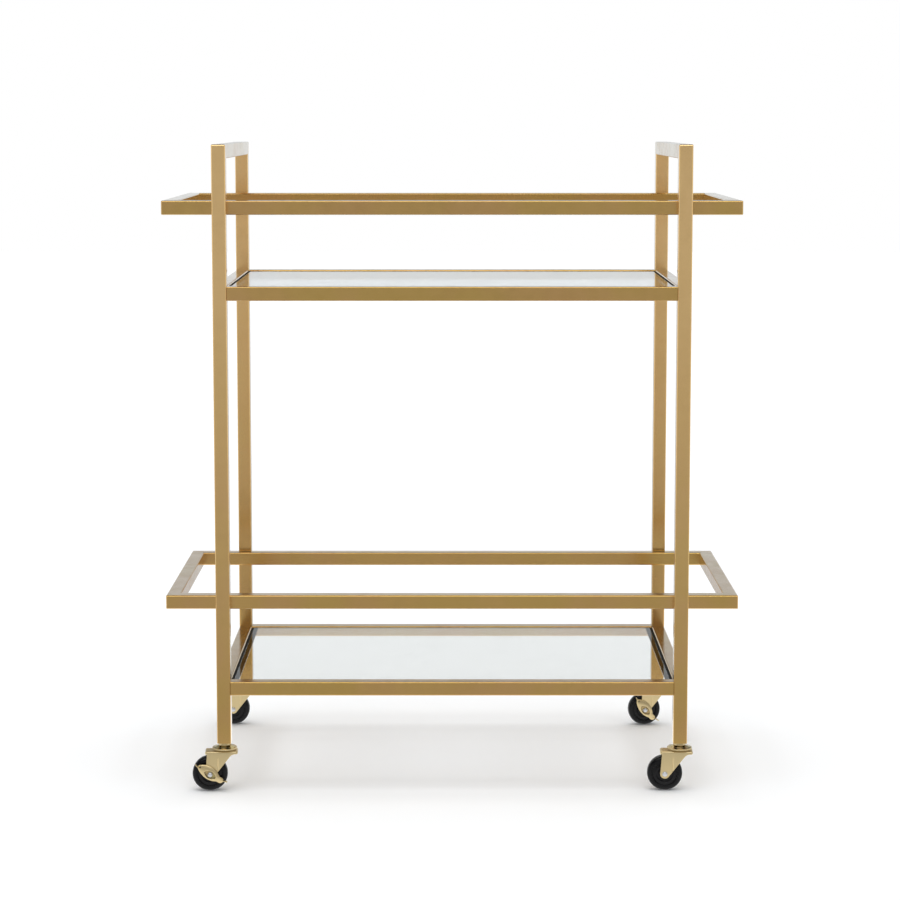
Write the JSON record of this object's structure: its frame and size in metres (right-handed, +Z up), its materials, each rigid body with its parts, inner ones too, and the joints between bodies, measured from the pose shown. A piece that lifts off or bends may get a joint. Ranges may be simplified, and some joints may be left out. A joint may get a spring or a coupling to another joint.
{
  "type": "bar cart",
  "caption": "Bar cart of square gold-finished tube with glass shelves, gallery rails that stand out past the legs, handle bars at both ends and swivel casters.",
  "frame": {"origin": "on the floor under the middle of the cart", "axes": "+Z up, +X to the right along the rails, -Y to the front"},
  "size_m": [0.82, 0.4253, 0.925],
  "materials": {
    "frame_gold": "steel tube with a brushed gold finish, satin",
    "caster_brass": "pressed steel, bright brass plate",
    "bare_steel": "zinc-plated steel",
    "wheel_black": "hard black rubber, slightly glossy",
    "glass": "clear float glass",
    "black_trim": "matt black rubber",
    "insert_plastic": "black moulded plastic"
  },
  "bodies": {
    "frame": {"front_left_leg": "frame_gold", "rear_left_leg": "frame_gold", "left_handle_bar": "frame_gold", "front_right_leg": "frame_gold", "rear_right_leg": "frame_gold", "right_handle_bar": "frame_gold", "upper_shelf_front_bar": "frame_gold", "upper_shelf_rear_bar": "frame_gold", "upper_shelf_left_bar": "frame_gold", "upper_shelf_right_bar": "frame_gold", "upper_rail_front_bar": "frame_gold", "upper_rail_rear_bar": "frame_gold", "upper_rail_left_bar": "frame_gold", "upper_rail_right_bar": "frame_gold", "upper_left_ledge": "frame_gold", "upper_right_ledge": "frame_gold", "lower_shelf_front_bar": "frame_gold", "lower_shelf_rear_bar": "frame_gold", "lower_shelf_left_bar": "frame_gold", "lower_shelf_right_bar": "frame_gold", "lower_rail_front_bar": "frame_gold", "lower_rail_rear_bar": "frame_gold", "lower_rail_left_bar": "frame_gold", "lower_rail_right_bar": "frame_gold", "lower_left_ledge": "frame_gold", "lower_right_ledge": "frame_gold", "upper_glass_shelf": "glass", "upper_glass_trim": "black_trim", "lower_glass_shelf": "glass", "lower_glass_trim": "black_trim", "leg_inserts": "insert_plastic", "caster_balls": "bare_steel", "front_left_caster_stem": "caster_brass", "front_left_caster_cap": "caster_brass", "front_right_caster_stem": "caster_brass", "front_right_caster_cap": "caster_brass", "rear_left_caster_stem": "caster_brass", "rear_left_caster_cap": "caster_brass", "rear_right_caster_stem": "caster_brass", "rear_right_caster_cap": "caster_brass"},
    "front_left_fork": {"front_left_caster_fork": "caster_brass", "front_left_caster_axle": "bare_steel", "front_left_caster_bush": "bare_steel"},
    "front_left_wheel": {"front_left_caster_wheel": "wheel_black"},
    "front_left_brake": {"front_left_caster_brake_lever": "caster_brass"},
    "front_right_fork": {"front_right_caster_fork": "caster_brass", "front_right_caster_axle": "bare_steel", "front_right_caster_bush": "bare_steel"},
    "front_right_wheel": {"front_right_caster_wheel": "wheel_black"},
    "rear_left_fork": {"rear_left_caster_fork": "caster_brass", "rear_left_caster_axle": "bare_steel", "rear_left_caster_bush": "bare_steel"},
    "rear_left_wheel": {"rear_left_caster_wheel": "wheel_black"},
    "rear_right_fork": {"rear_right_caster_fork": "caster_brass", "rear_right_caster_axle": "bare_steel", "rear_right_caster_bush": "bare_steel"},
    "rear_right_wheel": {"rear_right_caster_wheel": "wheel_black"},
    "rear_right_brake": {"rear_right_caster_brake_lever": "caster_brass"}
  },
  "joints": [
    {"name": "front_left_swivel", "type": "hinge", "parent": "frame", "child": "front_left_fork", "pos_m": [-0.327, -0.193, 0.0588], "axis": [0, 0, 1], "continuous": true},
    {"name": "front_left_roll", "type": "hinge", "parent": "front_left_fork", "child": "front_left_wheel", "pos_m": [-0.34796, -0.19428, 0.0254], "axis": [-0.061, 0.9981, 0], "continuous": true},
    {"name": "front_left_brake", "type": "hinge", "parent": "front_left_fork", "child": "front_left_brake", "pos_m": [-0.34796, -0.19428, 0.0254], "axis": [-0.061, 0.9981, 0], "range_deg": [0, 16]},
    {"name": "front_right_swivel", "type": "hinge", "parent": "frame", "child": "front_right_fork", "pos_m": [0.327, -0.193, 0.0588], "axis": [0, 0, 1], "continuous": true},
    {"name": "front_right_roll", "type": "hinge", "parent": "front_right_fork", "child": "front_right_wheel", "pos_m": [0.30602, -0.19208, 0.0254], "axis": [0.0436, 0.999, 0], "continuous": true},
    {"name": "rear_left_swivel", "type": "hinge", "parent": "frame", "child": "rear_left_fork", "pos_m": [-0.327, 0.193, 0.0588], "axis": [0, 0, 1], "continuous": true},
    {"name": "rear_left_roll", "type": "hinge", "parent": "rear_left_fork", "child": "rear_left_wheel", "pos_m": [-0.34799, 0.19355, 0.0254], "axis": [0.0262, 0.9997, 0], "continuous": true},
    {"name": "rear_right_swivel", "type": "hinge", "parent": "frame", "child": "rear_right_fork", "pos_m": [0.327, 0.193, 0.0588], "axis": [0, 0, 1], "continuous": true},
    {"name": "rear_right_roll", "type": "hinge", "parent": "rear_right_fork", "child": "rear_right_wheel", "pos_m": [0.30613, 0.19062, 0.0254], "axis": [-0.1132, 0.9936, 0], "continuous": true},
    {"name": "rear_right_brake", "type": "hinge", "parent": "rear_right_fork", "child": "rear_right_brake", "pos_m": [0.30613, 0.19062, 0.0254], "axis": [-0.1132, 0.9936, 0], "range_deg": [-16, 0]}
  ]
}
